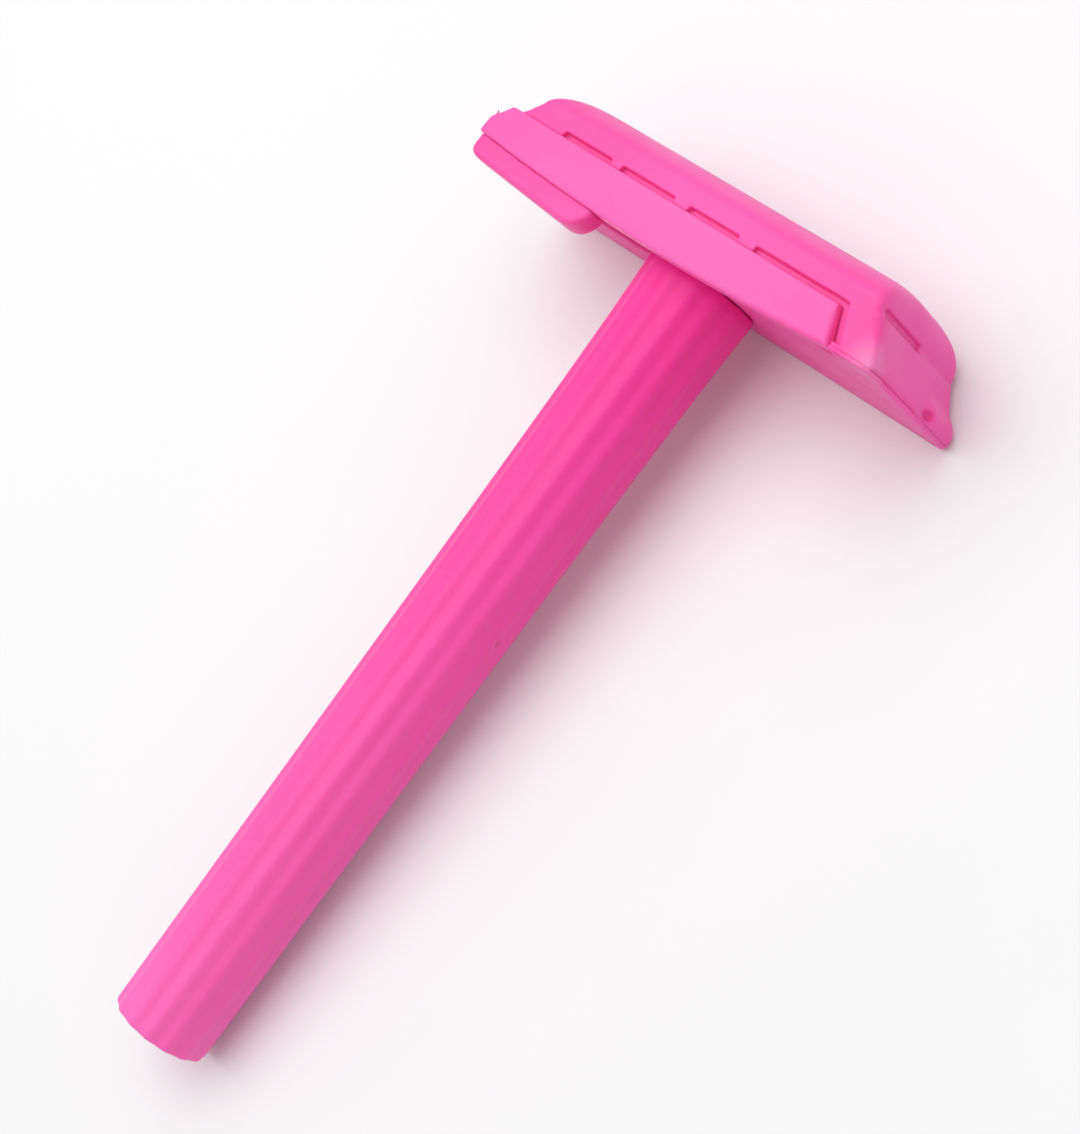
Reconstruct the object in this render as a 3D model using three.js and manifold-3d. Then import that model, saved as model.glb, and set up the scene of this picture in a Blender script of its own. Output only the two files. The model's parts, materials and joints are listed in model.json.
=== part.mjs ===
// Fixed-head twin-blade razor with its blade cover on.
// The razor is first built upright in its own group: X runs along the head, Y along the handle
// towards the head, and Z out of the shaving side. Y = 0 is the underside of the head.
// The whole group is then laid on its back, shaving side up. Millimetres.
import * as THREE from "three";
import { mergeVertices } from "three/addons/utils/BufferGeometryUtils.js";
import Module from "manifold-3d";

const wasm = await Module();
wasm.setup();

// Fits
const RUNNING_GAP = 0.1; // around what slides
const SEAT_GAP = 0.05; // between pieces that are pressed or staked together

// Handle
const HANDLE_LENGTH = 72.2;
const HANDLE_TOP_R = 4.6;
const HANDLE_END_R = 4.2;
const FLARE = 0.28; // extra radius where the handle meets the head
const FLARE_FADE = 7;
const FLUTES = 14;
const FLUTE_DEPTH = 0.22;
const FLUTE_PHASE = 0.084; // radians, from the +X side
const END_ROUND = 0.35;
const BORE_R = 3.1;
const PLUG_DEPTH = 6;
const STEM_LENGTH = 14;
const HEAD_CLEARANCE = 0.3; // from the handle's top to the head's underside

// Head
const HEAD_HALF = 21.7;
const HEAD_FRONT = 7.75;
const HEAD_BACK = -7.75;
const CORNER_R = 1.3;
const SOLE_TOP = 0.35; // the sole plate runs out to the head's edge
const CORE_HALF = 19.2; // the core stands inside the cover's skirt
const CORE_BACK = -6.4;
const CORE_TOP = 1.9;
const DECK_HALF = 17.6;
const DECK_TOP = 4.2;
const DECK_BACK = -6.1;

// T-shaped rail on the crosshead and the channel it runs in
const RAIL_HALF = 16.5;
const RAIL_HALF_WIDTH = 4.75;
const RAIL_BOTTOM = 0.8;
const RAIL_TOP = 1.8;
const NECK_HALF_LENGTH = 2.4;
const NECK_HALF_WIDTH = 1.5;

// Guard bar along the front of the cartridge
const BAR_LEFT = -21.7; // the ends lean in towards the top
const BAR_RIGHT = 17.35;
const BAR_LEAN_LEFT = 1.4;
const BAR_LEAN_RIGHT = 1.45;
const BAR_BACK = 6.2;
const BAR_BOTTOM = 0.1;
const BAR_BOW = 0.77; // how far the lower edge bows down at mid-length
const BAR_TOP = 3.15;

// Finger tab at the front left
const TAB_LEFT = -21.7;
const TAB_RIGHT = -7.3;
const TAB_DROP_LEFT = 1.75;
const TAB_DROP_RIGHT = 2.6;
const TAB_BACK = 5.2;
const TAB_FRONT = 7.4;

// Blade stack
const BLADE_HALF = 16.9;
const BLADE_THICKNESS = 0.15;
const BLADE_BACK = -3;
const LOWER_BLADE_Y = 4.3;
const LOWER_EDGE = 5.6;
const SPACER_THICKNESS = 0.6;
const UPPER_EDGE = 4;
const EDGE_BEVEL = 0.6;
const CAP_HALF = 15.8;
const CAP_BACK = -3.2;
const CAP_FRONT = 2.3;
const CAP_THICKNESS = 0.8;
const POST_R = 0.8;
const POST_Z = -2.2;
const POST_SPACING = 12;
const POST_END = 2.6;
const STRIP_HALF = 14;
const STRIP_BACK = -1.1;
const STRIP_FRONT = 1.5;
const STRIP_DEPTH = 0.3;

// Blade cover
const COVER_TOP = 7.7;
const COVER_WALL = 0.9;
const END_WALL_SHARE = 0.6; // the cover's sloping ends are thinner than its arch
const COVER_BOTTOM = 0.45;
const COVER_FOOT_HALF = 21.5;
const COVER_SHOULDER_HALF = 18.4; // left end
const COVER_SHOULDER_Y = 4.7;
const LEDGE_HALF = 19.15; // right end, which steps in above a ledge
const LEDGE_Y = 4.15;
const LEDGE_STEP = 0.35;
const COVER_CREST_LEFT = -14;
const COVER_CREST_RIGHT = 15.6;
const COVER_FRONT_R = 2.4;
const COVER_BACK_R = 3.9;
const SLOT_HEIGHT = 0.4; // grooves along the cover's front edge, just above the guard bar
const SLOT_DEPTH = 0.45;
const SLOTS = [
  [-14.5, -8.9],
  [-7.7, -1.7],
  [-0.1, 5.3],
  [7, 15.6],
];
const GRIP_HEIGHT = 0.45; // groove above the right end's ledge
const GRIP_FLOOR = 18.6;
const GRIP_Z = [-0.3, 6.3];

const far = 60; // longer than anything it cuts

function solid(geometry) {
  const bare = geometry.index ? geometry.toNonIndexed() : geometry.clone();
  bare.deleteAttribute("normal");
  bare.deleteAttribute("uv");
  const merged = mergeVertices(bare, 1e-4);
  return new wasm.Manifold(
    new wasm.Mesh({
      numProp: 3,
      vertProperties: merged.attributes.position.array,
      triVerts: new Uint32Array(merged.index.array),
    }),
  );
}

function geometryOf(manifold) {
  const mesh = manifold.getMesh();
  const geometry = new THREE.BufferGeometry();
  geometry.setAttribute("position", new THREE.BufferAttribute(mesh.vertProperties, 3));
  geometry.setIndex(new THREE.BufferAttribute(mesh.triVerts, 1));
  const flat = geometry.toNonIndexed();
  flat.computeVertexNormals();
  return flat;
}

function box([x0, x1], [y0, y1], [z0, z1]) {
  const geometry = new THREE.BoxGeometry(x1 - x0, y1 - y0, z1 - z0);
  return solid(geometry.translate((x0 + x1) / 2, (y0 + y1) / 2, (z0 + z1) / 2));
}

function outline(points) {
  return new THREE.Shape(points.map(([a, b]) => new THREE.Vector2(a, b)));
}

// A rectangle with rounded corners, drawn from its lowest to its highest corner; the corners at
// its low side may be rounder.
function roundedRectangle([a0, b0], [a1, b1], r, lowR = r) {
  const shape = new THREE.Shape();
  shape.moveTo(a0 + lowR, b0);
  shape.lineTo(a1 - lowR, b0);
  shape.absarc(a1 - lowR, b0 + lowR, lowR, -Math.PI / 2, 0);
  shape.lineTo(a1, b1 - r);
  shape.absarc(a1 - r, b1 - r, r, 0, Math.PI / 2);
  shape.lineTo(a0 + r, b1);
  shape.absarc(a0 + r, b1 - r, r, Math.PI / 2, Math.PI);
  shape.lineTo(a0, b0 + lowR);
  shape.absarc(a0 + lowR, b0 + lowR, lowR, Math.PI, 1.5 * Math.PI);
  return shape;
}

function extruded(shape, depth, curveSegments = 5) {
  return new THREE.ExtrudeGeometry(shape, { depth, bevelEnabled: false, curveSegments });
}

// An outline in (x, z), thick from y0 to y1.
function plate(shape, y0, y1) {
  return solid(extruded(shape, y1 - y0).rotateX(Math.PI / 2).translate(0, y1, 0));
}

// An outline in (z, y), long from x0 to x1.
function bar(shape, x0, x1) {
  return solid(extruded(shape, x1 - x0).rotateY(-Math.PI / 2).translate(x1, 0, 0));
}

// An outline in (x, y), deep from z0 to z1.
function slab(shape, z0, z1) {
  return solid(extruded(shape, z1 - z0).translate(0, 0, z0));
}

// A round pin along the handle's direction.
function pin(r, y0, y1, x = 0, z = 0, segments = 24) {
  const geometry = new THREE.CylinderGeometry(r, r, y1 - y0, segments);
  return solid(geometry.translate(x, (y0 + y1) / 2, z));
}

function posts(r, y0, y1) {
  const xs = [-POST_SPACING, 0, POST_SPACING];
  return xs.map((x) => pin(r, y0, y1, x, POST_Z, 12)).reduce((a, b) => a.add(b));
}

function handleRadius(fromHead) {
  const taper = (HANDLE_TOP_R - HANDLE_END_R) * (fromHead / HANDLE_LENGTH);
  const edge = Math.max(0, fromHead - (HANDLE_LENGTH - HEAD_CLEARANCE - END_ROUND));
  return HANDLE_TOP_R - taper + FLARE * Math.exp(-fromHead / FLARE_FADE) - edge;
}

function fluteSection() {
  const pointsPerFlute = 4;
  const count = FLUTES * pointsPerFlute;
  const points = [];
  for (let i = 0; i < count; i++) {
    const angle = (i / count) * 2 * Math.PI;
    const r = 1 - (FLUTE_DEPTH / HANDLE_TOP_R) * (0.5 + 0.5 * Math.cos(FLUTES * (angle + FLUTE_PHASE)));
    points.push([r * Math.cos(angle), r * Math.sin(angle)]);
  }
  return outline(points);
}

function handleTube() {
  const length = HANDLE_LENGTH - HEAD_CLEARANCE;
  const stations = [0, 2.5, 6, 12, 22, 46, length - END_ROUND, length];
  const geometry = new THREE.ExtrudeGeometry(fluteSection(), {
    depth: 1,
    steps: stations.length - 1,
    bevelEnabled: false,
  });
  const position = geometry.attributes.position;
  for (let i = 0; i < position.count; i++) {
    const step = Math.round(position.getZ(i) * (stations.length - 1));
    const fromTop = stations[step];
    const r = handleRadius(fromTop);
    position.setXYZ(i, position.getX(i) * r, position.getY(i) * r, fromTop);
  }
  geometry.rotateX(Math.PI / 2).translate(0, -HEAD_CLEARANCE, 0);
  return solid(geometry).subtract(pin(BORE_R, -HANDLE_LENGTH - 1, 0));
}

function handleEndPlug() {
  const outer = -HANDLE_LENGTH + 0.2;
  const r = BORE_R - SEAT_GAP;
  const recess = pin(r - 1.2, outer + 1.5, outer + PLUG_DEPTH + 1);
  return pin(r, outer, outer + PLUG_DEPTH).subtract(recess);
}

function crosshead() {
  const neckBase = -HEAD_CLEARANCE - 0.3;
  const stem = pin(BORE_R - SEAT_GAP, -HEAD_CLEARANCE - STEM_LENGTH, neckBase);
  const neckX = [-NECK_HALF_LENGTH, NECK_HALF_LENGTH];
  const neckZ = [-NECK_HALF_WIDTH, NECK_HALF_WIDTH];
  const neck = box(neckX, [neckBase - 1, RAIL_TOP - 0.1], neckZ);
  const railPlan = roundedRectangle([-RAIL_HALF, -RAIL_HALF_WIDTH], [RAIL_HALF, RAIL_HALF_WIDTH], 1);
  return stem.add(neck).add(plate(railPlan, RAIL_BOTTOM, RAIL_TOP));
}

// The tab hangs under the front left of the head, lower towards the handle, and rounds off below.
function fingerTab() {
  const r = 1.1;
  const shape = new THREE.Shape();
  shape.moveTo(TAB_LEFT, SOLE_TOP);
  shape.lineTo(TAB_LEFT, r - TAB_DROP_LEFT);
  shape.quadraticCurveTo(TAB_LEFT, -TAB_DROP_LEFT, TAB_LEFT + r, -TAB_DROP_LEFT - 0.08);
  shape.lineTo(TAB_RIGHT - 2 * r, -TAB_DROP_RIGHT);
  shape.quadraticCurveTo(TAB_RIGHT - r / 2, -TAB_DROP_RIGHT, TAB_RIGHT, -0.8);
  shape.lineTo(TAB_RIGHT, SOLE_TOP);
  const underBar = slab(guardBarEnds(RUNNING_GAP), BAR_BACK - RUNNING_GAP, far);
  return slab(shape, TAB_BACK, TAB_FRONT).subtract(underBar);
}

function cartridgeBase() {
  const plan = roundedRectangle([-HEAD_HALF, HEAD_BACK], [HEAD_HALF, HEAD_FRONT], CORNER_R);
  const corePlan = roundedRectangle([-CORE_HALF, CORE_BACK], [CORE_HALF, BAR_BACK], CORNER_R);
  const body = plate(plan, 0, SOLE_TOP).add(plate(corePlan, SOLE_TOP - 0.1, CORE_TOP));
  const deck = box([-DECK_HALF, DECK_HALF], [CORE_TOP - 0.1, DECK_TOP], [DECK_BACK, BAR_BACK]);
  const barX = [BAR_LEFT - 1, BAR_RIGHT + SEAT_GAP];
  const barSeat = box(barX, [-1, far], [BAR_BACK - SEAT_GAP, far]);
  const channelWidth = RAIL_HALF_WIDTH + RUNNING_GAP;
  const channel = box(
    [-far, RAIL_HALF + RUNNING_GAP],
    [RAIL_BOTTOM - RUNNING_GAP, RAIL_TOP + RUNNING_GAP],
    [-channelWidth, channelWidth],
  );
  const slotWidth = NECK_HALF_WIDTH + RUNNING_GAP;
  const neckSlot = box([-far, NECK_HALF_LENGTH + RUNNING_GAP], [-1, RAIL_BOTTOM], [-slotWidth, slotWidth]);
  return body
    .add(deck)
    .subtract(barSeat)
    .add(fingerTab())
    .subtract(channel)
    .subtract(neckSlot)
    .subtract(posts(POST_R + SEAT_GAP, POST_END - 0.1, far));
}

// The bar seen from the front, its lower edge dropped a little further by the gap left under it.
function guardBarEnds(gap = 0) {
  const r = 0.9;
  const bottom = BAR_BOTTOM - gap;
  const rightTop = BAR_RIGHT - BAR_LEAN_RIGHT;
  const leftTop = BAR_LEFT + BAR_LEAN_LEFT;
  const ends = new THREE.Shape();
  ends.moveTo(BAR_LEFT, bottom);
  ends.quadraticCurveTo((BAR_LEFT + BAR_RIGHT) / 2, bottom - 2 * BAR_BOW, BAR_RIGHT, bottom);
  ends.lineTo(rightTop + 0.2, BAR_TOP - r);
  ends.quadraticCurveTo(rightTop, BAR_TOP, rightTop - r, BAR_TOP);
  ends.lineTo(leftTop + r, BAR_TOP);
  ends.quadraticCurveTo(leftTop - 0.2, BAR_TOP, BAR_LEFT, BAR_TOP - 1.6);
  return ends;
}

// The bar's front face leans back a little at the top.
function guardBar() {
  const lowest = BAR_BOTTOM - BAR_BOW - 0.1;
  const section = outline([
    [BAR_BACK, lowest],
    [HEAD_FRONT - 0.15, lowest],
    [HEAD_FRONT, BAR_BOTTOM + 0.4],
    [HEAD_FRONT - 0.15, BAR_TOP - 0.6],
    [HEAD_FRONT - 0.6, BAR_TOP],
    [BAR_BACK, BAR_TOP],
  ]);
  return bar(section, BAR_LEFT, BAR_RIGHT).intersect(slab(guardBarEnds(), 0, HEAD_FRONT + 1));
}

function blade(y, edge) {
  const section = outline([
    [BLADE_BACK, y],
    [edge - EDGE_BEVEL, y],
    [edge, y + BLADE_THICKNESS / 2],
    [edge - EDGE_BEVEL, y + BLADE_THICKNESS],
    [BLADE_BACK, y + BLADE_THICKNESS],
  ]);
  const strip = bar(section, -BLADE_HALF, BLADE_HALF);
  return strip.subtract(posts(POST_R + SEAT_GAP, 0, far));
}

const SPACER_Y = LOWER_BLADE_Y + BLADE_THICKNESS + SEAT_GAP;
const UPPER_BLADE_Y = SPACER_Y + SPACER_THICKNESS + SEAT_GAP;
const CAP_Y = UPPER_BLADE_Y + BLADE_THICKNESS + SEAT_GAP;
const CAP_TOP = CAP_Y + CAP_THICKNESS;

// The spacer's front edge is notched, so that water rinses through between the blades.
function bladeSpacer() {
  const front = UPPER_EDGE - 0.6;
  const spacer = box([-16.6, 16.6], [SPACER_Y, SPACER_Y + SPACER_THICKNESS], [BLADE_BACK, front]);
  const notches = [];
  for (let x = -14; x <= 14; x += 4) {
    notches.push(box([x - 1.4, x + 1.4], [0, far], [1, far]));
  }
  const cut = notches.reduce((a, b) => a.add(b));
  return spacer.subtract(cut).subtract(posts(POST_R + SEAT_GAP, 0, far));
}

function bladeCap() {
  const section = outline([
    [CAP_BACK, CAP_Y],
    [CAP_FRONT, CAP_Y],
    [CAP_FRONT + 0.2, CAP_Y + 0.3],
    [CAP_FRONT - 0.7, CAP_TOP],
    [CAP_BACK + 0.8, CAP_TOP],
    [CAP_BACK, CAP_Y + 0.3],
  ]);
  const pocket = box(
    [-STRIP_HALF - SEAT_GAP, STRIP_HALF + SEAT_GAP],
    [CAP_TOP - STRIP_DEPTH - SEAT_GAP, far],
    [STRIP_BACK - SEAT_GAP, STRIP_FRONT + SEAT_GAP],
  );
  const body = bar(section, -CAP_HALF, CAP_HALF);
  return body.subtract(pocket).add(posts(POST_R, POST_END, CAP_Y + 0.2));
}

function lubricatingStrip() {
  const plan = roundedRectangle([-STRIP_HALF, STRIP_BACK], [STRIP_HALF, STRIP_FRONT], 0.5);
  return plate(plan, CAP_TOP - STRIP_DEPTH, CAP_TOP + 0.1);
}

// The cover's outside, or its inside when inset by the wall: an arch along the head, cut by a
// sloping outline seen from the front.
function coverForm(inset) {
  const front = HEAD_FRONT - 0.3 - inset;
  const back = HEAD_BACK + 0.1 + inset;
  const top = COVER_TOP - inset;
  const bottom = COVER_BOTTOM - inset;
  const arch = new THREE.Shape();
  arch.moveTo(back, bottom);
  arch.lineTo(back + 0.15, 4.6 - inset / 2);
  arch.quadraticCurveTo(back + 0.5, top - 0.4, back + 4.6, top - 0.05);
  arch.lineTo(0.4, top);
  arch.quadraticCurveTo(front - 1.6, top - 0.4, front - 0.1, 5.1 - inset / 2);
  arch.lineTo(front, bottom);
  const foot = COVER_FOOT_HALF - inset;
  const shoulder = COVER_SHOULDER_HALF - inset * END_WALL_SHARE;
  const ledge = LEDGE_HALF - inset * END_WALL_SHARE;
  const ends = new THREE.Shape();
  ends.moveTo(-foot, bottom);
  ends.lineTo(foot, bottom);
  ends.lineTo(ledge, LEDGE_Y);
  ends.lineTo(ledge - LEDGE_STEP, LEDGE_Y + 0.25);
  ends.quadraticCurveTo(ledge - LEDGE_STEP - 0.5, top, COVER_CREST_RIGHT, top);
  ends.lineTo(COVER_CREST_LEFT, top);
  ends.quadraticCurveTo(1.3 - shoulder, top, -shoulder, COVER_SHOULDER_Y);
  const corners = [COVER_FRONT_R - inset / 2, COVER_BACK_R - inset / 2];
  const plan = roundedRectangle([-foot, back], [foot, front], ...corners);
  const arched = bar(arch, -HEAD_HALF, HEAD_HALF).intersect(slab(ends, HEAD_BACK, HEAD_FRONT));
  return arched.intersect(plate(plan, 0, far));
}

// The skirt is notched at the left end, where the crosshead's rail runs out.
function bladeCover() {
  const shell = coverForm(0).subtract(coverForm(COVER_WALL));
  const gap = RUNNING_GAP + SEAT_GAP;
  const barEnds = outline([
    [-far, 0],
    [BAR_RIGHT + gap, 0],
    [BAR_RIGHT - BAR_LEAN_RIGHT + gap, BAR_TOP + gap],
    [-far, BAR_TOP + gap],
  ]);
  const aroundBar = slab(barEnds, BAR_BACK - gap, far);
  const railWidth = RAIL_HALF_WIDTH + 3 * RUNNING_GAP;
  const railNotch = box([-far, 0], [0, RAIL_TOP + 3 * RUNNING_GAP], [-railWidth, railWidth]);
  const slotFloor = HEAD_FRONT - 0.3 - SLOT_DEPTH;
  const slots = SLOTS.map(([x0, x1]) => box([x0, x1], [BAR_TOP, BAR_TOP + SLOT_HEIGHT], [slotFloor, far]));
  const grip = box([GRIP_FLOOR, HEAD_HALF], [LEDGE_Y, LEDGE_Y + GRIP_HEIGHT], GRIP_Z);
  return [aroundBar, railNotch, grip, ...slots].reduce((rest, cut) => rest.subtract(cut), shell);
}

function material(color, roughness, metalness = 0) {
  return new THREE.MeshStandardMaterial({ color, roughness, metalness });
}

const pink = material(0xf06ab4, 0.42);
const lightPink = material(0xff86cc, 0.45);
const coverPink = material(0xfa72bb, 0.38);
const steel = material(0xc9ccd0, 0.22, 1);
const stripWhite = material(0xe9efe6, 0.6);

const razor = new THREE.Group();

function addPiece(name, manifold, look) {
  const mesh = new THREE.Mesh(geometryOf(manifold), look);
  mesh.name = name;
  razor.add(mesh);
}

addPiece("handle_tube", handleTube(), pink);
addPiece("handle_end_plug", handleEndPlug(), pink);
addPiece("crosshead", crosshead(), pink);
addPiece("cartridge_base", cartridgeBase(), pink);
addPiece("guard_bar", guardBar(), lightPink);
addPiece("lower_blade", blade(LOWER_BLADE_Y, LOWER_EDGE), steel);
addPiece("blade_spacer", bladeSpacer(), pink);
addPiece("upper_blade", blade(UPPER_BLADE_Y, UPPER_EDGE), steel);
addPiece("blade_cap", bladeCap(), pink);
addPiece("lubricating_strip", lubricatingStrip(), stripWhite);
addPiece("blade_cover", bladeCover(), coverPink);

// Lying on its back, the razor touches the ground with the head's back edge and the handle's end.
const lyingTilt = Math.atan((HANDLE_END_R - 0.05 + HEAD_BACK) / -HANDLE_LENGTH);
razor.rotation.x = lyingTilt;
razor.updateMatrixWorld(true);
const extent = new THREE.Box3().setFromObject(razor, true);
const middle = extent.getCenter(new THREE.Vector3());
razor.position.set(-middle.x, -middle.y, -extent.min.z);

const part = new THREE.Group();
part.add(razor);

export default part;
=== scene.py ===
import json
import math

import bpy
import numpy as np
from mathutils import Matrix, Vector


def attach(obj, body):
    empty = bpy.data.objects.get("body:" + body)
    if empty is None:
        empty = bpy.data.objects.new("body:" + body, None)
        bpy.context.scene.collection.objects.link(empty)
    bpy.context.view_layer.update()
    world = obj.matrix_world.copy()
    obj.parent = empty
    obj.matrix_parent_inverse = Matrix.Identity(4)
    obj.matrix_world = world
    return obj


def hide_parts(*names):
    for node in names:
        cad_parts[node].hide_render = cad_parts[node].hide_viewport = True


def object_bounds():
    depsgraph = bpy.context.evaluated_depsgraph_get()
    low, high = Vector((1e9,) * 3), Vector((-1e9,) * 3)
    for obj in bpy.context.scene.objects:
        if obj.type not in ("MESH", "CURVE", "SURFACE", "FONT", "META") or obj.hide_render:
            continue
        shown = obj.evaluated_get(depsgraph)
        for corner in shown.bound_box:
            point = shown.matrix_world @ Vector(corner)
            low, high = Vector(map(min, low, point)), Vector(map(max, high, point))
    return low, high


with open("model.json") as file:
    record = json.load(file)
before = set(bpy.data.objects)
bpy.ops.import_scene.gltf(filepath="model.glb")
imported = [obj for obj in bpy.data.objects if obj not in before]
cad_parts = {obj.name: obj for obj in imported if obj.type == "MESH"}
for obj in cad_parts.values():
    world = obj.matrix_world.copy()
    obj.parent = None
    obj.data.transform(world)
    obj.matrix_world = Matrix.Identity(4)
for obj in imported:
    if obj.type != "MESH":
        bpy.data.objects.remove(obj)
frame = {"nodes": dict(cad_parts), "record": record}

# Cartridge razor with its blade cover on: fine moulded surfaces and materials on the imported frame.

import openvdb
from mathutils import Matrix, Vector

cad_low, cad_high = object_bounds()

MM = 0.001

# ---------------------------------------------------------------------------
# The razor's own frame, in millimetres: X along the head, Y along the handle towards the head,
# Z out of the shaving side, with y = 0 at the head's underside.
# ---------------------------------------------------------------------------

HEAD_CLEARANCE = 0.3


def own_frame():
    """The matrix from the razor's own millimetres to the row frame."""
    end_face = next(m for m in frame["record"]["mounts"] if m["name"] == "handle_end_face")
    along = -Vector(end_face["axis"])
    tilt = math.atan2(along.z, along.y)
    foot = Vector(end_face["pos_m"])
    tube = frame["nodes"]["handle_tube"].data.vertices
    reach = max((v.co - foot).dot(along) for v in tube) + HEAD_CLEARANCE * MM
    origin = foot + along * reach
    placed = Matrix.Translation(origin) @ Matrix.Rotation(tilt, 4, "X") @ Matrix.Scale(MM, 4)
    return placed, (reach - HEAD_CLEARANCE * MM) / MM


LYING, TUBE_REACH = own_frame()

# ---------------------------------------------------------------------------
# Dimensions, in millimetres. FAR is past any part of the razor, for cuts that have no end.
# ---------------------------------------------------------------------------

PLUG_RECESS = 0.2
PLUG_LENGTH = 6
HANDLE_END = -(HEAD_CLEARANCE + TUBE_REACH + PLUG_RECESS)
HANDLE_TOP_R = 4.6
HANDLE_END_R = 4.17
FLARE = 0.28
FLARE_FADE = 7
FLUTES = 14
FLUTE_DEPTH = 0.18
FLUTE_PHASE = 0.084
HANDLE_TOP_GAP = 0.08
HANDLE_EDGE_R = 0.4
RING_SPACING = 0.9
BORE_R = 3.1
SEAT_GAP = 0.05

HEAD_HALF = 21.66
HEAD_FRONT = 7.75
HEAD_BACK = -7.72
CORNER_R = 1.2
SOLE_TOP = 0.35
CORE_HALF = 19.2
CORE_BACK = -6.4
CORE_TOP = 1.9
DECK_HALF = 17.6
DECK_TOP = 4.2
DECK_BACK = -6.1
RAIL_HALF = 16.5
RAIL_HALF_WIDTH = 4.75
RAIL_BOTTOM = 0.8
RAIL_TOP = 1.8
NECK_HALF_LENGTH = 2.4
NECK_HALF_WIDTH = 1.5
RUNNING_GAP = 0.1
NOTCH_GAP = 3 * RUNNING_GAP

BAR_LEFT = -21.66
BAR_RIGHT = 17.35
BAR_LEAN_LEFT = 1.4
BAR_LEAN_RIGHT = 1.45
BAR_BACK = 6.2
BAR_BOTTOM = 0.1
BAR_BOW = 0.77
BAR_TOP = 3.15
BAR_SEAM = 0.005

TAB_LEFT = -21.62
TAB_RIGHT = -7.3
TAB_DROP_LEFT = 1.75
TAB_DROP_RIGHT = 2.6
TAB_BACK = 5.2
TAB_FRONT = 7.6
TAB_CORNER = 1.1

COVER_TOP = 7.65
COVER_WALL = 0.9
END_WALL_SHARE = 0.85
COVER_BOTTOM = 0.34
COVER_FOOT_HALF = 21.55
COVER_SHOULDER_HALF = 18.4
COVER_SHOULDER_Y = 4.7
LEDGE_HALF = 19.15
LEDGE_Y = 4.15
LEDGE_STEP = 0.35
COVER_CREST_LEFT = -14
COVER_CREST_RIGHT = 15.6
SLOT_HEIGHT = 0.5
SLOT_DEPTH = 0.75
SLOTS = ((-14.5, -8.9), (-7.7, -1.7), (-0.1, 5.3), (7, 15.6))
GRIP_HEIGHT = 0.6
GRIP_FLOOR = 18.45
GRIP_Z = (-0.3, 6.3)
FAR = 60

# Where the painted highlight on the cover's corner sits, and how far round it spreads
HIGHLIGHT_SPOT_AT = (20.6, 0.7, 7.2)
HIGHLIGHT_SPOT_R = 2.2

# The rounded swelling at the cover's lower right back corner
HEEL_LOW = (18.9, -1.2, -7.65)
HEEL_HIGH = (21.62, 2.0, -2.2)
HEEL_R = 1.2

# ---------------------------------------------------------------------------
# Distance fields: a moulded form is worked out as a signed distance on a grid, so that its edges
# can be as soft as a mould leaves them, and meshed once.
# ---------------------------------------------------------------------------


class Block:
    """A block of space sampled every step millimetres."""

    def __init__(self, low, high, step):
        self.low, self.step = np.array(low, float), step
        axes = [np.arange(a, b + step, step, dtype=np.float32) for a, b in zip(low, high)]
        self.x, self.y, self.z = np.meshgrid(*axes, indexing="ij", sparse=True)

    def mesh(self, name, distance, placed=LYING):
        """The surface where the distance is nought, as an object in the row frame."""
        shape = (self.x.size, self.y.size, self.z.size)
        dense = np.ascontiguousarray(np.broadcast_to(distance, shape), dtype=np.float32)
        grid = openvdb.FloatGrid(1.0)
        grid.copyFromArray(dense)
        points, quads = grid.convertToQuads(0.0)
        points = points * self.step + self.low
        a, b, c, d = (points[quads[:, i]] for i in range(4))
        volume = np.einsum("ij,ij->", a, np.cross(b, c)) + np.einsum("ij,ij->", a, np.cross(c, d))
        if volume < 0:
            quads = quads[:, ::-1]
        return new_object(name, points, quads.tolist(), placed)


def smooth_max(a, b, k):
    h = np.maximum(k - np.abs(a - b), 0) / k
    return np.maximum(a, b) + h * h * k / 4


def smooth_min(a, b, k):
    return -smooth_max(-a, -b, k)


def box_field(block, low, high, r=0.0):
    """A box from its lowest to its highest corner, its edges rounded by r."""
    q = []
    for value, a, b in zip((block.x, block.y, block.z), low, high):
        q.append(np.abs(value - (a + b) / 2) - (b - a) / 2 + r)
    outside = np.sqrt(sum(np.maximum(v, 0) ** 2 for v in q))
    inside = np.minimum(np.maximum(np.maximum(q[0], q[1]), q[2]), 0)
    return outside + inside - r


def rectangle_field(a, b, low, high, r):
    """A rounded rectangle in two directions."""
    qa = np.abs(a - (low[0] + high[0]) / 2) - (high[0] - low[0]) / 2 + r
    qb = np.abs(b - (low[1] + high[1]) / 2) - (high[1] - low[1]) / 2 + r
    outside = np.sqrt(np.maximum(qa, 0) ** 2 + np.maximum(qb, 0) ** 2)
    return outside + np.minimum(np.maximum(qa, qb), 0) - r


def outline_field(a, b, points):
    """A closed outline in two directions, as an exact signed distance."""
    nearest = np.full(np.broadcast_shapes(a.shape, b.shape), 1e9, np.float32)
    inside = np.zeros(nearest.shape, bool)
    for (a0, b0), (a1, b1) in zip(points, points[1:] + points[:1]):
        da, db = a1 - a0, b1 - b0
        t = np.clip(((a - a0) * da + (b - b0) * db) / (da * da + db * db), 0, 1)
        nearest = np.minimum(nearest, (a - a0 - t * da) ** 2 + (b - b0 - t * db) ** 2)
        if db:
            crosses = ((b0 > b) != (b1 > b)) & (a < da * (b - b0) / db + a0)
            inside ^= crosses
    return np.where(inside, -1, 1) * np.sqrt(nearest)


def bend(start, control, end, count=10):
    """Points of a quadratic curve, without its start."""
    made = []
    for i in range(1, count + 1):
        t = i / count
        made.append(
            tuple(
                (1 - t) ** 2 * s + 2 * t * (1 - t) * c + t * t * e
                for s, c, e in zip(start, control, end)
            )
        )
    return made


# ---------------------------------------------------------------------------
# Mesh helpers
# ---------------------------------------------------------------------------


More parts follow.
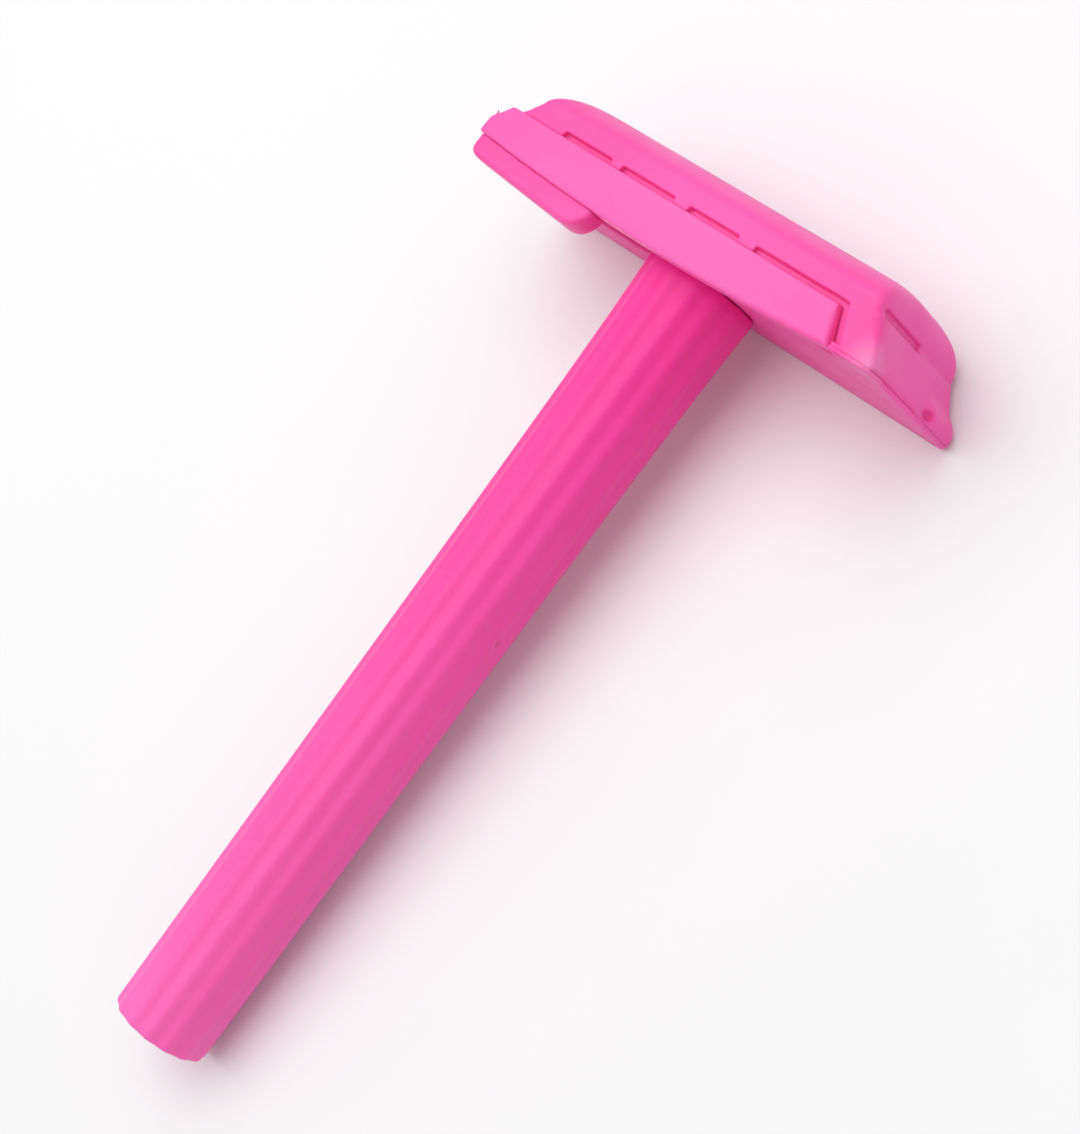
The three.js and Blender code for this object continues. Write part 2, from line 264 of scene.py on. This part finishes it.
def new_object(name, points, faces, placed):
    mesh = bpy.data.meshes.new(name)
    mesh.from_pydata([tuple(p) for p in points], [], faces)
    mesh.transform(placed)
    mesh.validate()
    mesh.update()
    piece = bpy.data.objects.new(name, mesh)
    bpy.context.scene.collection.objects.link(piece)
    mesh.polygons.foreach_set("use_smooth", [True] * len(mesh.polygons))
    return piece


def ring_surface(name, rings):
    """Closed surface through rings of equal length, the last joined to the first."""
    around = len(rings[0])
    points = [p for ring in rings for p in ring]
    faces = []
    for i in range(len(rings)):
        j = (i + 1) % len(rings)
        for k in range(around):
            m = (k + 1) % around
            faces.append((i * around + k, i * around + m, j * around + m, j * around + k))
    return new_object(name, points, faces, LYING)


def finish_piece(piece, material, body, slot, *nodes):
    piece.data.materials.append(material)
    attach(piece, body)
    if nodes:
        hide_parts(*nodes)


def dress_node(node, material, bevel=0.0):
    """A CAD node that keeps its own shape, with its edges broken and its finish set."""
    piece = frame["nodes"][node]
    piece.data.materials.clear()
    piece.data.materials.append(material)
    piece.data.polygons.foreach_set("material_index", [0] * len(piece.data.polygons))
    if bevel:
        weld = piece.modifiers.new("weld", "WELD")
        weld.merge_threshold = 0.002 * MM
        edge = piece.modifiers.new("edge", "BEVEL")
        edge.width = bevel * MM
        edge.segments = 2
        edge.limit_method = "ANGLE"
        edge.angle_limit = math.radians(40)
        edge.use_clamp_overlap = True


# ---------------------------------------------------------------------------
# Materials
# ---------------------------------------------------------------------------

# Painted highlight: how strongly, and in what tint, the cover's corner is painted paler
HIGHLIGHT_SPOT_SHARE = 0.55
HIGHLIGHT_SPOT_TINT = (0.75, 0.34, 0.56, 1)

# Painted shade in hollows: a hollow's floor is painted deeper in colour, as if shaded; how concave it is at
# full and at no effect
HOLLOW_SHADE_FULL = 0.4
HOLLOW_SHADE_NONE = 0.48
HOLLOW_SHADE_TINT = (0.82, 0.3, 0.6, 1)

SPECK_SCALE = 140
SPECK_CORE = 0.03
SPECK_RIM = 0.05
SPECK_SHARE = 0.45
SPECK_TINT = (0.35, 0.02, 0.11, 1)

PATCH_SCALE = 260
GRAIN_SCALE = 5200
GRAIN_STRENGTH = 0.12
GRAIN_DEPTH = 0.02 * MM
WAVE_SCALE = 420
WAVE_STRENGTH = 0.25
WAVE_DEPTH = 0.08 * MM

SUBSURFACE_WEIGHT = 0.35
SUBSURFACE_RADIUS = (1.0, 0.25, 0.55)
SUBSURFACE_SCALE = 1.1 * MM
PLASTIC_IOR = 1.49
PLASTIC_SPECULAR = 0.32


def new_material(name):
    material = bpy.data.materials.new(name)
    material.use_nodes = True
    nodes = material.node_tree.nodes
    return material, nodes, material.node_tree.links, nodes["Principled BSDF"]


def noise(nodes, links, coordinates, scale, detail=3.0, stretch=(1, 1, 1)):
    mapping = nodes.new("ShaderNodeMapping")
    mapping.inputs["Scale"].default_value = stretch
    links.new(coordinates.outputs["Object"], mapping.inputs["Vector"])
    made = nodes.new("ShaderNodeTexNoise")
    made.inputs["Scale"].default_value = scale
    made.inputs["Detail"].default_value = detail
    links.new(mapping.outputs["Vector"], made.inputs["Vector"])
    return made


def ramp(nodes, links, source, low, high, start=0.35, stop=0.65):
    made = nodes.new("ShaderNodeMapRange")
    made.inputs["From Min"].default_value = start
    made.inputs["From Max"].default_value = stop
    made.inputs["To Min"].default_value = low
    made.inputs["To Max"].default_value = high
    links.new(source.outputs["Fac"], made.inputs["Value"])
    return made


def painted_corner_highlight(nodes, links, coordinates, colour):
    """Painted highlight: the plastic is painted paler round the corner of the cover, where light glints."""
    mapping = nodes.new("ShaderNodeMapping")
    mapping.vector_type = "TEXTURE"
    mapping.inputs["Location"].default_value = LYING @ Vector(HIGHLIGHT_SPOT_AT)
    mapping.inputs["Scale"].default_value = [HIGHLIGHT_SPOT_R * MM] * 3
    links.new(coordinates.outputs["Object"], mapping.inputs["Vector"])
    ball = nodes.new("ShaderNodeTexGradient")
    ball.gradient_type = "SPHERICAL"
    links.new(mapping.outputs["Vector"], ball.inputs["Vector"])
    share = nodes.new("ShaderNodeMath")
    share.operation = "MULTIPLY"
    share.inputs[1].default_value = HIGHLIGHT_SPOT_SHARE
    links.new(ball.outputs["Fac"], share.inputs[0])
    mixed = nodes.new("ShaderNodeMix")
    mixed.data_type = "RGBA"
    mixed.inputs["B"].default_value = HIGHLIGHT_SPOT_TINT
    links.new(colour, mixed.inputs["A"])
    links.new(share.outputs["Value"], mixed.inputs["Factor"])
    return mixed.outputs["Result"]


def moulded_plastic(
    name, colour, pale, rough=(0.36, 0.5), flow=(1, 1, 1), flow_scale=90, head_end_shade=None, hollow_shade=0.0
):
    """The tint towards the head is painted shade that darkens the handle near the head, and it also turns on
    the specks; the hollow tint is painted shade that deepens the colour in grooves.

    fade tints the end of the handle near the head and adds specks; hollows deepens the colour in grooves.
    """
    material, nodes, links, shader = new_material(name)
    coordinates = nodes.new("ShaderNodeTexCoord")
    clouds = noise(nodes, links, coordinates, flow_scale, 4.0, flow)
    share = ramp(nodes, links, clouds, 0.0, 1.0, 0.3, 0.7)
    tint = nodes.new("ShaderNodeMix")
    tint.data_type = "RGBA"
    tint.inputs["A"].default_value = (*colour, 1)
    tint.inputs["B"].default_value = (*pale, 1)
    links.new(share.outputs["Result"], tint.inputs["Factor"])
    skin_colour = tint.outputs["Result"]
    # Painted shade: the handle is painted darker towards the head, where the head shades it
    if head_end_shade:
        place = nodes.new("ShaderNodeSeparateXYZ")
        links.new(coordinates.outputs["Object"], place.inputs["Vector"])
        along = nodes.new("ShaderNodeMapRange")
        along.inputs["From Min"].default_value = HANDLE_SPAN[0]
        along.inputs["From Max"].default_value = HANDLE_SPAN[1]
        links.new(place.outputs["Y"], along.inputs["Value"])
        ends = nodes.new("ShaderNodeMix")
        ends.data_type = "RGBA"
        ends.blend_type = "MULTIPLY"
        ends.inputs["B"].default_value = (*head_end_shade, 1)
        links.new(skin_colour, ends.inputs["A"])
        links.new(along.outputs["Result"], ends.inputs["Factor"])
        skin_colour = ends.outputs["Result"]
        cells = nodes.new("ShaderNodeTexVoronoi")
        cells.inputs["Scale"].default_value = SPECK_SCALE
        links.new(coordinates.outputs["Object"], cells.inputs["Vector"])
        dot = nodes.new("ShaderNodeMapRange")
        dot.inputs["From Min"].default_value = SPECK_CORE
        dot.inputs["From Max"].default_value = SPECK_RIM
        dot.inputs["To Min"].default_value = SPECK_SHARE
        dot.inputs["To Max"].default_value = 0.0
        links.new(cells.outputs["Distance"], dot.inputs["Value"])
        speck = nodes.new("ShaderNodeMix")
        speck.data_type = "RGBA"
        speck.inputs["B"].default_value = SPECK_TINT
        links.new(skin_colour, speck.inputs["A"])
        links.new(dot.outputs["Result"], speck.inputs["Factor"])
        skin_colour = speck.outputs["Result"]
    # Painted shade: grooves and slots are painted darker where they are concave
    if hollow_shade:
        form = nodes.new("ShaderNodeNewGeometry")
        hollow = nodes.new("ShaderNodeMapRange")
        hollow.inputs["From Min"].default_value = HOLLOW_SHADE_FULL
        hollow.inputs["From Max"].default_value = HOLLOW_SHADE_NONE
        hollow.inputs["To Min"].default_value = hollow_shade
        hollow.inputs["To Max"].default_value = 0.0
        links.new(form.outputs["Pointiness"], hollow.inputs["Value"])
        hollow_shade_mix = nodes.new("ShaderNodeMix")
        hollow_shade_mix.data_type = "RGBA"
        hollow_shade_mix.blend_type = "MULTIPLY"
        hollow_shade_mix.inputs["B"].default_value = HOLLOW_SHADE_TINT
        links.new(skin_colour, hollow_shade_mix.inputs["A"])
        links.new(hollow.outputs["Result"], hollow_shade_mix.inputs["Factor"])
        skin_colour = hollow_shade_mix.outputs["Result"]
    # Painted highlight on the cover's corner
    skin_colour = painted_corner_highlight(nodes, links, coordinates, skin_colour)
    links.new(skin_colour, shader.inputs["Base Color"])
    patches = noise(nodes, links, coordinates, PATCH_SCALE, 3.0, flow)
    gloss = ramp(nodes, links, patches, rough[0], rough[1], 0.3, 0.7)
    links.new(gloss.outputs["Result"], shader.inputs["Roughness"])
    grain = noise(nodes, links, coordinates, GRAIN_SCALE, 2.0)
    fine = nodes.new("ShaderNodeBump")
    fine.inputs["Strength"].default_value = GRAIN_STRENGTH
    fine.inputs["Distance"].default_value = GRAIN_DEPTH
    links.new(grain.outputs["Fac"], fine.inputs["Height"])
    waves = noise(nodes, links, coordinates, WAVE_SCALE, 2.0, flow)
    broad = nodes.new("ShaderNodeBump")
    broad.inputs["Strength"].default_value = WAVE_STRENGTH
    broad.inputs["Distance"].default_value = WAVE_DEPTH
    links.new(waves.outputs["Fac"], broad.inputs["Height"])
    links.new(fine.outputs["Normal"], broad.inputs["Normal"])
    links.new(broad.outputs["Normal"], shader.inputs["Normal"])
    shader.inputs["Subsurface Weight"].default_value = SUBSURFACE_WEIGHT
    shader.inputs["Subsurface Radius"].default_value = SUBSURFACE_RADIUS
    shader.inputs["Subsurface Scale"].default_value = SUBSURFACE_SCALE
    shader.inputs["IOR"].default_value = PLASTIC_IOR
    shader.inputs["Specular IOR Level"].default_value = PLASTIC_SPECULAR
    return material


def blade_steel():
    """Ground stainless strip: fine grinding lines along the blade."""
    material, nodes, links, shader = new_material("ground_steel")
    coordinates = nodes.new("ShaderNodeTexCoord")
    lines = noise(nodes, links, coordinates, 900, 3.0, (0.02, 1, 1))
    tone = ramp(nodes, links, lines, 0.0, 1.0, 0.3, 0.7)
    colour = nodes.new("ShaderNodeMix")
    colour.data_type = "RGBA"
    colour.inputs["A"].default_value = (0.56, 0.57, 0.58, 1)
    colour.inputs["B"].default_value = (0.72, 0.73, 0.74, 1)
    links.new(tone.outputs["Result"], colour.inputs["Factor"])
    links.new(colour.outputs["Result"], shader.inputs["Base Color"])
    gloss = ramp(nodes, links, lines, 0.16, 0.34, 0.3, 0.7)
    links.new(gloss.outputs["Result"], shader.inputs["Roughness"])
    bump = nodes.new("ShaderNodeBump")
    bump.inputs["Strength"].default_value = 0.2
    bump.inputs["Distance"].default_value = 0.00001
    links.new(lines.outputs["Fac"], bump.inputs["Height"])
    links.new(bump.outputs["Normal"], shader.inputs["Normal"])
    shader.inputs["Metallic"].default_value = 1.0
    return material


def gel_strip():
    """Dry lubricating strip: off-white, slightly porous."""
    material, nodes, links, shader = new_material("gel_strip")
    coordinates = nodes.new("ShaderNodeTexCoord")
    pores = noise(nodes, links, coordinates, 1800, 4.0)
    tone = ramp(nodes, links, pores, 0.0, 1.0)
    colour = nodes.new("ShaderNodeMix")
    colour.data_type = "RGBA"
    colour.inputs["A"].default_value = (0.62, 0.7, 0.62, 1)
    colour.inputs["B"].default_value = (0.8, 0.84, 0.78, 1)
    links.new(tone.outputs["Result"], colour.inputs["Factor"])
    links.new(colour.outputs["Result"], shader.inputs["Base Color"])
    gloss = ramp(nodes, links, pores, 0.5, 0.75)
    links.new(gloss.outputs["Result"], shader.inputs["Roughness"])
    bump = nodes.new("ShaderNodeBump")
    bump.inputs["Strength"].default_value = 0.5
    bump.inputs["Distance"].default_value = 0.00004
    links.new(pores.outputs["Fac"], bump.inputs["Height"])
    links.new(bump.outputs["Normal"], shader.inputs["Normal"])
    return material


PINK = (0.86, 0.06, 0.335)
PINK_PALE = (0.94, 0.105, 0.42)
COVER_PINK = (0.91, 0.075, 0.36)
COVER_PALE = (0.95, 0.1, 0.42)
# Painted light: the guard bar gets a lighter copy of the same pink, because its front band faces the lamp
GUARD_LIT_PINK = (0.95, 0.1, 0.41)
GUARD_LIT_PALE = (0.98, 0.135, 0.46)

HANDLE_SPAN = (cad_low.y, (LYING @ Vector((0, 0, 0))).y)
HANDLE_END_PINK = (0.9, 0.11, 0.42)
HANDLE_END_PALE = (0.95, 0.15, 0.49)
# Painted shade: the handle's colour is multiplied by this towards the head
HEAD_END_SHADE = (0.93, 0.22, 0.69)

handle_plastic = moulded_plastic(
    "handle_plastic",
    HANDLE_END_PINK,
    HANDLE_END_PALE,
    rough=(0.4, 0.55),
    flow=(1, 0.12, 1),
    flow_scale=260,
    head_end_shade=HEAD_END_SHADE,
)
head_plastic = moulded_plastic("head_plastic", PINK, PINK_PALE, flow=(0.5, 1, 1), hollow_shade=0.5)
cover_plastic = moulded_plastic("cover_plastic", COVER_PINK, COVER_PALE, flow=(0.5, 1, 1), hollow_shade=1.0)
# Painted light: lighter pink for the guard bar's band, which faces the lamp
lit_guard_plastic = moulded_plastic("lit_guard_plastic", GUARD_LIT_PINK, GUARD_LIT_PALE, flow=(0.4, 1, 1))
steel = blade_steel()
strip = gel_strip()

# ---------------------------------------------------------------------------
# Handle
# ---------------------------------------------------------------------------


def handle_radius(from_head):
    taper = (HANDLE_TOP_R - HANDLE_END_R) * from_head / -HANDLE_END
    return HANDLE_TOP_R - taper + FLARE * math.exp(-from_head / FLARE_FADE)


def handle_ring(y, r, flute, around=FLUTES * 14):
    ring = []
    for i in range(around):
        angle = 2 * math.pi * i / around
        wave = 0.5 + 0.5 * math.cos(FLUTES * (angle + FLUTE_PHASE))
        reach = r - flute * FLUTE_DEPTH * wave
        ring.append((reach * math.cos(angle), y, reach * math.sin(angle)))
    return ring


def handle():
    """The fluted tube: up its bore, over its top, down its outside and round its end."""
    top = -HANDLE_TOP_GAP
    edge = HANDLE_EDGE_R
    rings = [handle_ring(HANDLE_END + 0.25, BORE_R, 0), handle_ring(top, BORE_R, 0)]
    rings.append(handle_ring(top, handle_radius(0) - 0.15, 1))
    station = 0.15
    while station < -HANDLE_END - edge:
        rings.append(handle_ring(top - station, handle_radius(station), 1))
        station += RING_SPACING
    last = handle_radius(-HANDLE_END)
    for i in range(7):
        turn = math.pi / 2 * i / 6
        y = HANDLE_END + edge * (1 - math.sin(turn))
        rings.append(handle_ring(y, last - edge * (1 - math.cos(turn)), 1 - 0.3 * i / 6))
    rings.append(handle_ring(HANDLE_END, BORE_R + 0.2, 0))
    return ring_surface("fluted_handle", rings)


def end_plug():
    """The plug in the tube's end, with a small moulding dimple in its face."""
    outer = HANDLE_END + PLUG_RECESS
    r = BORE_R - SEAT_GAP
    dimple = [(0.01, 0.16), (0.5, 0.15), (0.75, 0.03), (1.0, 0)]
    rim = [(r - 0.25, 0), (r - 0.08, 0.04), (r, 0.2)]
    profile = dimple + rim + [(r, PLUG_LENGTH), (0.01, PLUG_LENGTH)]
    rings = [handle_ring(outer + y, radius, 0, 72) for radius, y in profile]
    return ring_surface("end_plug", rings)


# ---------------------------------------------------------------------------
# Head
# ---------------------------------------------------------------------------

STEP = 0.11


def tab_outline():
    low_left = (TAB_LEFT, TAB_CORNER - TAB_DROP_LEFT)
    points = [(TAB_LEFT, 1), low_left]
    points += bend(low_left, (TAB_LEFT, -TAB_DROP_LEFT), (TAB_LEFT + TAB_CORNER, -TAB_DROP_LEFT - 0.08))
    low_right = (TAB_RIGHT - 2 * TAB_CORNER, -TAB_DROP_RIGHT)
    points.append(low_right)
    points += bend(low_right, (TAB_RIGHT - 0.5, -TAB_DROP_RIGHT), (TAB_RIGHT, -0.8))
    points.append((TAB_RIGHT + 0.1, 1))
    return points


def bar_underside(drop):
    """The bar's lower edge, bowed down at mid-length."""
    low = BAR_BOTTOM - drop
    left, right = (BAR_LEFT - drop, low), (BAR_RIGHT, low)
    middle = ((BAR_LEFT + BAR_RIGHT) / 2, low - 2 * BAR_BOW)
    return [left] + bend(left, middle, right, 24)


def cartridge_base():
    block = Block((-22.2, -3.1, -8.2), (22.2, 4.7, 8.2), STEP)
    plan = rectangle_field(
        block.x, block.z, (-HEAD_HALF, HEAD_BACK), (HEAD_HALF, HEAD_FRONT), CORNER_R
    )
    sole = np.maximum(smooth_max(plan, -block.y, 0.35), block.y - SOLE_TOP)
    core = box_field(block, (-CORE_HALF, 0.1, CORE_BACK), (CORE_HALF, CORE_TOP, BAR_BACK), 0.3)
    deck = box_field(block, (-DECK_HALF, 1, DECK_BACK), (DECK_HALF, DECK_TOP, BAR_BACK), 0.2)
    form = smooth_min(smooth_min(sole, core, 0.15), deck, 0.3)
    bar_seat = box_field(
        block, (BAR_LEFT - 1, -FAR, BAR_BACK - SEAT_GAP), (BAR_RIGHT + SEAT_GAP, FAR, FAR), 0.02
    )
    form = smooth_max(form, -bar_seat, 0.12)
    # The tab's face is hollowed under the bar and comes forward towards its lower edge.
    face = TAB_FRONT + 0.05 - 0.2 * np.exp(-((block.y + 0.3) / 1.0) ** 2)
    thick = np.maximum(block.z - face, TAB_BACK - block.z)
    tab = smooth_max(outline_field(block.x, block.y, tab_outline()), thick, 0.6)
    tab = np.maximum(tab, block.y - SOLE_TOP)
    around_bar = bar_underside(BAR_SEAM) + [(BAR_RIGHT, FAR), (BAR_LEFT - 1, FAR), (BAR_LEFT - 1, 0)]
    around_bar = np.maximum(
        outline_field(block.x, block.y, around_bar), BAR_BACK - RUNNING_GAP - block.z
    )
    tab = np.maximum(tab, -around_bar)
    form = smooth_min(form, tab, 0.15)
    channel = box_field(
        block,
        (-FAR, RAIL_BOTTOM - RUNNING_GAP, -RAIL_HALF_WIDTH - RUNNING_GAP),
        (RAIL_HALF + RUNNING_GAP, RAIL_TOP + RUNNING_GAP, RAIL_HALF_WIDTH + RUNNING_GAP),
    )
    slot = box_field(
        block,
        (-FAR, -FAR, -NECK_HALF_WIDTH - RUNNING_GAP),
        (NECK_HALF_LENGTH + RUNNING_GAP, RAIL_BOTTOM, NECK_HALF_WIDTH + RUNNING_GAP),
        0.02,
    )
    form = smooth_max(form, -np.minimum(channel, slot), 0.12)
    return block.mesh("moulded_base", form)


def guard_bar():
    """The bar, with the torn sprue tip left at its front left corner."""
    block = Block((-22.2, -1.1, 5.8), (17.9, 3.7, 8.1), STEP * 0.9)
    lowest = BAR_BOTTOM - BAR_BOW - 0.3
    section = [
        (BAR_BACK, lowest),
        (HEAD_FRONT, lowest),
        (HEAD_FRONT, BAR_BOTTOM + 0.4),
        (HEAD_FRONT - 0.3, BAR_TOP),
        (BAR_BACK, BAR_TOP),
    ]
    front = outline_field(block.z, block.y, section)
    top_right = BAR_RIGHT - BAR_LEAN_RIGHT
    top_left = BAR_LEFT + BAR_LEAN_LEFT
    ends = bar_underside(0) + [(top_right, BAR_TOP), (top_left, BAR_TOP), (BAR_LEFT, BAR_TOP - 1.6)]
    sides = outline_field(block.x, block.y, ends)
    rounding = (0.3 + 0.2 * np.clip(block.x / 15, 0, 1)) * np.clip((BAR_TOP - block.y) / 0.8, 0.06, 1)
    form = smooth_max(front, sides, rounding)
    along = np.clip((BAR_LEFT + 0.5 - block.x) / 0.45, 0, 1)
    off_y = block.y - (BAR_TOP - 1.55 + 0.7 * along)
    off_x = np.maximum(0, np.abs(block.x - BAR_LEFT - 0.3) - 0.22)
    nub = np.sqrt(off_x**2 + off_y**2 + (block.z - 7.25) ** 2) - (0.26 - 0.18 * along)
    form = smooth_min(form, nub, 0.25)
    form = np.maximum(form, BAR_LEFT - block.x)
    return block.mesh("front_guard", form)


def cover_form(block, inset):
    """The cover's outside, or its inside when inset by the wall."""
    front = HEAD_FRONT - 0.3 - inset
    back = HEAD_BACK + 0.1 + inset
    top = COVER_TOP - inset
    bottom = COVER_BOTTOM - inset
    low = bottom - 1.5
    heel, nose = (back + 0.15, 4.6 - inset / 2), (0.4, top)
    arch = [(back, low), (back, bottom), heel]
    arch += bend(heel, (back + 0.5, top - 0.4), (back + 4.6, top - 0.05))
    arch.append(nose)
    arch += bend(nose, (front - 1.6, top - 0.4), (front - 0.1, 5.1 - inset / 2))
    arch += [(front, bottom), (front, low)]
    foot = COVER_FOOT_HALF - inset
    shoulder = COVER_SHOULDER_HALF - inset * END_WALL_SHARE
    ledge = LEDGE_HALF - inset * END_WALL_SHARE
    step = ledge - LEDGE_STEP
    ends = [(-foot, bottom), (-foot, low), (foot, low), (foot, bottom)]
    ends += [(ledge, LEDGE_Y), (step, LEDGE_Y + 0.25)]
    ends += bend(ends[-1], (step - 0.4, top), (COVER_CREST_RIGHT, top))
    ends.append((COVER_CREST_LEFT, top))
    ends += bend(ends[-1], (1.3 - shoulder, top), (-shoulder, COVER_SHOULDER_Y))
    ends.append((-shoulder - 1.35, 3.4))
    # The corners are tight round the skirt and grow rounder above it.
    corner = np.clip(0.8 + 1.6 * (block.y - 1.8), 0.8, 3.8) - inset / 3
    plan = rectangle_field(block.x, block.z, (-foot, back), (foot, front), corner)
    ridge = 0.8 if inset == 0 else 0.3
    form = smooth_max(
        outline_field(block.z, block.y, arch), outline_field(block.x, block.y, ends), ridge
    )
    form = smooth_max(form, plan, ridge)
    if inset == 0:
        form = smooth_min(form, box_field(block, HEEL_LOW, HEEL_HIGH, HEEL_R), 0.8)
        form = np.maximum(form, block.x - HEEL_HIGH[0])
    return form


def blade_cover():
    block = Block((-22.2, -0.2, -8.2), (22.2, 8.1, 8.2), STEP)
    shell = smooth_max(cover_form(block, 0), -cover_form(block, COVER_WALL), 0.15)
    shell = np.maximum(shell, COVER_BOTTOM - block.y)
    top_right = BAR_RIGHT - BAR_LEAN_RIGHT
    bar_ends = [
        (-FAR, -1),
        (BAR_RIGHT + BAR_SEAM, -1),
        (BAR_RIGHT + BAR_SEAM, BAR_BOTTOM),
        (top_right + BAR_SEAM, BAR_TOP + BAR_SEAM),
        (-FAR, BAR_TOP + BAR_SEAM),
    ]
    around_bar = np.maximum(
        outline_field(block.x, block.y, bar_ends), BAR_BACK - BAR_SEAM - block.z
    )
    shell = np.maximum(shell, -around_bar)
    floor = HEAD_FRONT - 0.3 - SLOT_DEPTH
    for x0, x1 in SLOTS:
        slot = box_field(block, (x0, BAR_TOP - 0.5, floor), (x1, BAR_TOP + SLOT_HEIGHT, FAR), 0.15)
        shell = smooth_max(shell, -slot, 0.12)
    # The last groove turns down round the bar's end and runs out above the sole.
    hook = [
        (top_right - 1.5, 0.75),
        (BAR_RIGHT + 0.5, 0.75),
        (top_right + 0.55, BAR_TOP + SLOT_HEIGHT),
        (top_right - 1.5, BAR_TOP + SLOT_HEIGHT),
    ]
    hook = smooth_max(outline_field(block.x, block.y, hook), floor - block.z, 0.15)
    shell = smooth_max(shell, -hook, 0.16)
    grip = box_field(
        block, (GRIP_FLOOR, LEDGE_Y, GRIP_Z[0]), (FAR, LEDGE_Y + GRIP_HEIGHT, GRIP_Z[1]), 0.15
    )
    shell = smooth_max(shell, -grip, 0.15)
    foot_groove = box_field(
        block, (COVER_FOOT_HALF - 0.3, -1, -0.8), (FAR, COVER_BOTTOM + 0.2, 6.9), 0.12
    )
    shell = smooth_max(shell, -foot_groove, 0.35)
    pit = np.sqrt(
        (block.x - COVER_FOOT_HALF + 0.25) ** 2 + (block.y - 1.05) ** 2 + ((block.z + 2.6) / 1.5) ** 2
    )
    shell = smooth_max(shell, 0.4 - pit, 0.25)
    # The notch in the left end wall lets the rail pass when the cartridge slides.
    notch_width = RAIL_HALF_WIDTH + NOTCH_GAP
    rail_notch = box_field(
        block, (-FAR, -1, -notch_width), (0, RAIL_TOP + NOTCH_GAP, notch_width), 0.3
    )
    shell = smooth_max(shell, -rail_notch, 0.15)
    return block.mesh("domed_cover", shell)


finish_piece(handle(), handle_plastic, "handle", "handle_pink", "handle_tube")
finish_piece(end_plug(), handle_plastic, "handle", "handle_pink", "handle_end_plug")
finish_piece(cartridge_base(), head_plastic, "cartridge", "head_pink", "cartridge_base")
finish_piece(guard_bar(), lit_guard_plastic, "cartridge", "guard_pink", "guard_bar")
finish_piece(blade_cover(), cover_plastic, "cover", "cover_pink", "blade_cover")
dress_node("crosshead", handle_plastic, 0.12)
dress_node("blade_spacer", head_plastic, 0.08)
dress_node("blade_cap", head_plastic, 0.12)
dress_node("lubricating_strip", strip, 0.08)
dress_node("lower_blade", steel)
dress_node("upper_blade", steel)

# ---------------------------------------------------------------------------
# Camera, light and floor
# ---------------------------------------------------------------------------

CAMERA_AZIMUTH = 91.183
CAMERA_ELEVATION = 54.109
CAMERA_ROLL = -53.002
CAMERA_DISTANCE = 170.006 * MM
CAMERA_AIM = (7.186 * MM, 3.784 * MM)
CAMERA_LENS = 69.82

KEY_DISTANCE, KEY_SIZE, KEY_POWER = 0.45, 0.6, 1.65
FILL_DISTANCE, FILL_SIZE, FILL_POWER = 0.6, 0.5, 0.06
STUDIO_STRENGTH = 0.6

FLOOR_HALF = 1.5
FLOOR_DROP = 0.02 * MM
FLOOR_COLOUR = (0.83, 0.83, 0.835, 1)


def make_camera():
    """The camera turns about the box's middle by azimuth, elevation and roll, then slides across its aim."""
    a, e, r = (math.radians(v) for v in (CAMERA_AZIMUTH, CAMERA_ELEVATION, CAMERA_ROLL))
    back = Vector((math.sin(a) * math.cos(e), -math.cos(a) * math.cos(e), math.sin(e)))
    level = (-back).cross(Vector((0, 0, 1))).normalized()
    rise = level.cross(-back)
    right = math.cos(r) * level + math.sin(r) * rise
    up = math.cos(r) * rise - math.sin(r) * level
    data = bpy.data.cameras.new("camera")
    data.lens = CAMERA_LENS
    data.sensor_width = 36
    data.clip_start = 0.01
    camera = bpy.data.objects.new("camera", data)
    bpy.context.scene.collection.objects.link(camera)
    middle = (cad_low + cad_high) / 2
    place = middle + back * CAMERA_DISTANCE + right * CAMERA_AIM[0] + up * CAMERA_AIM[1]
    turn = Matrix((right, up, back)).transposed().to_4x4()
    camera.matrix_world = Matrix.Translation(place) @ turn
    bpy.context.scene.camera = camera
    return right, up, back


def area_light(name, direction, distance, size, power):
    data = bpy.data.lights.new(name, "AREA")
    data.shape = "DISK"
    data.size = size
    data.energy = power
    light = bpy.data.objects.new(name, data)
    bpy.context.scene.collection.objects.link(light)
    light.location = direction.normalized() * distance
    light.rotation_mode = "QUATERNION"
    light.rotation_quaternion = direction.to_track_quat("Z", "Y")


def make_floor():
    half = FLOOR_HALF
    corners = [(-half, -half, 0), (half, -half, 0), (half, half, 0), (-half, half, 0)]
    mesh = bpy.data.meshes.new("floor")
    mesh.from_pydata(corners, [], [(0, 1, 2, 3)])
    floor = bpy.data.objects.new("floor", mesh)
    bpy.context.scene.collection.objects.link(floor)
    floor.location.z = cad_low.z - FLOOR_DROP
    material, nodes, links, shader = new_material("pale_floor")
    coordinates = nodes.new("ShaderNodeTexCoord")
    grain = noise(nodes, links, coordinates, 40, 2.0)
    tone = ramp(nodes, links, grain, 0.55, 0.7)
    links.new(tone.outputs["Result"], shader.inputs["Roughness"])
    shader.inputs["Base Color"].default_value = FLOOR_COLOUR
    mesh.materials.append(material)


right, up, back = make_camera()
make_floor()
key_direction = up * 0.75 - right * 0.7 + back * 0.9
fill_direction = right * 0.8 - up * 0.2 + back * 0.9
area_light("key", key_direction, KEY_DISTANCE, KEY_SIZE, KEY_POWER)
area_light("fill", fill_direction, FILL_DISTANCE, FILL_SIZE, FILL_POWER)

world = bpy.data.worlds.new("studio")
world.use_nodes = True
background = world.node_tree.nodes["Background"]
background.inputs["Color"].default_value = (1, 1, 1, 1)
background.inputs["Strength"].default_value = STUDIO_STRENGTH
bpy.context.scene.world = world
bpy.context.scene.view_settings.view_transform = "Standard"
